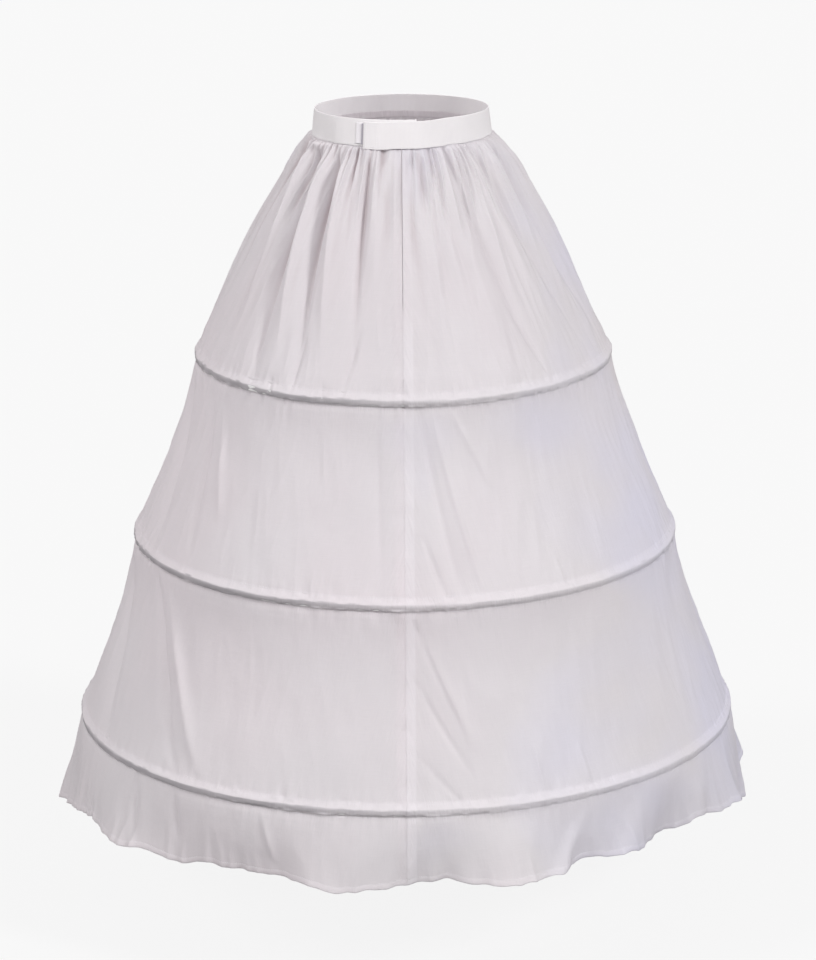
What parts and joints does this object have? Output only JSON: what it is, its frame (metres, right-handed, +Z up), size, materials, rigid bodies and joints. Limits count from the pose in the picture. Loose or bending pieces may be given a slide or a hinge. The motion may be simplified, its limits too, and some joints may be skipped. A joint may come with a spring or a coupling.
{
  "type": "hoop petticoat",
  "caption": "Long bell-shaped cloth petticoat gathered on an elastic waistband, held out by spring hoops in sewn casings, with a lapped hook-and-loop closure.",
  "frame": {"origin": "centre of the waist opening, level with the waistband's top edge", "axes": "+Z up along the wearer's waist axis, -Y towards the closure and its seam, +X to the right of someone who faces the closure"},
  "size_m": [0.9442, 0.9203, 0.9706],
  "materials": {
    "cloth": "thin plain-woven polyester with a slight sheen",
    "elastic": "wide woven elastic, matt",
    "closure_tape": "white hook-and-loop tape",
    "hoop_coat": "white plastic coat on spring steel",
    "sleeve_metal": "plain crimped steel"
  },
  "bodies": {
    "root": {"waistband": "elastic", "loop_tape": "closure_tape", "hook_tape": "closure_tape", "front_panel": "cloth", "back_panel_left": "cloth", "back_panel_right": "cloth", "casing_top": "cloth", "casing_middle": "cloth", "casing_bottom": "cloth", "hoop_top": "hoop_coat", "hoop_middle": "hoop_coat", "hoop_bottom": "hoop_coat", "hoop_sleeve_top": "sleeve_metal", "hoop_sleeve_middle": "sleeve_metal", "hoop_sleeve_bottom": "sleeve_metal"}
  },
  "joints": []
}
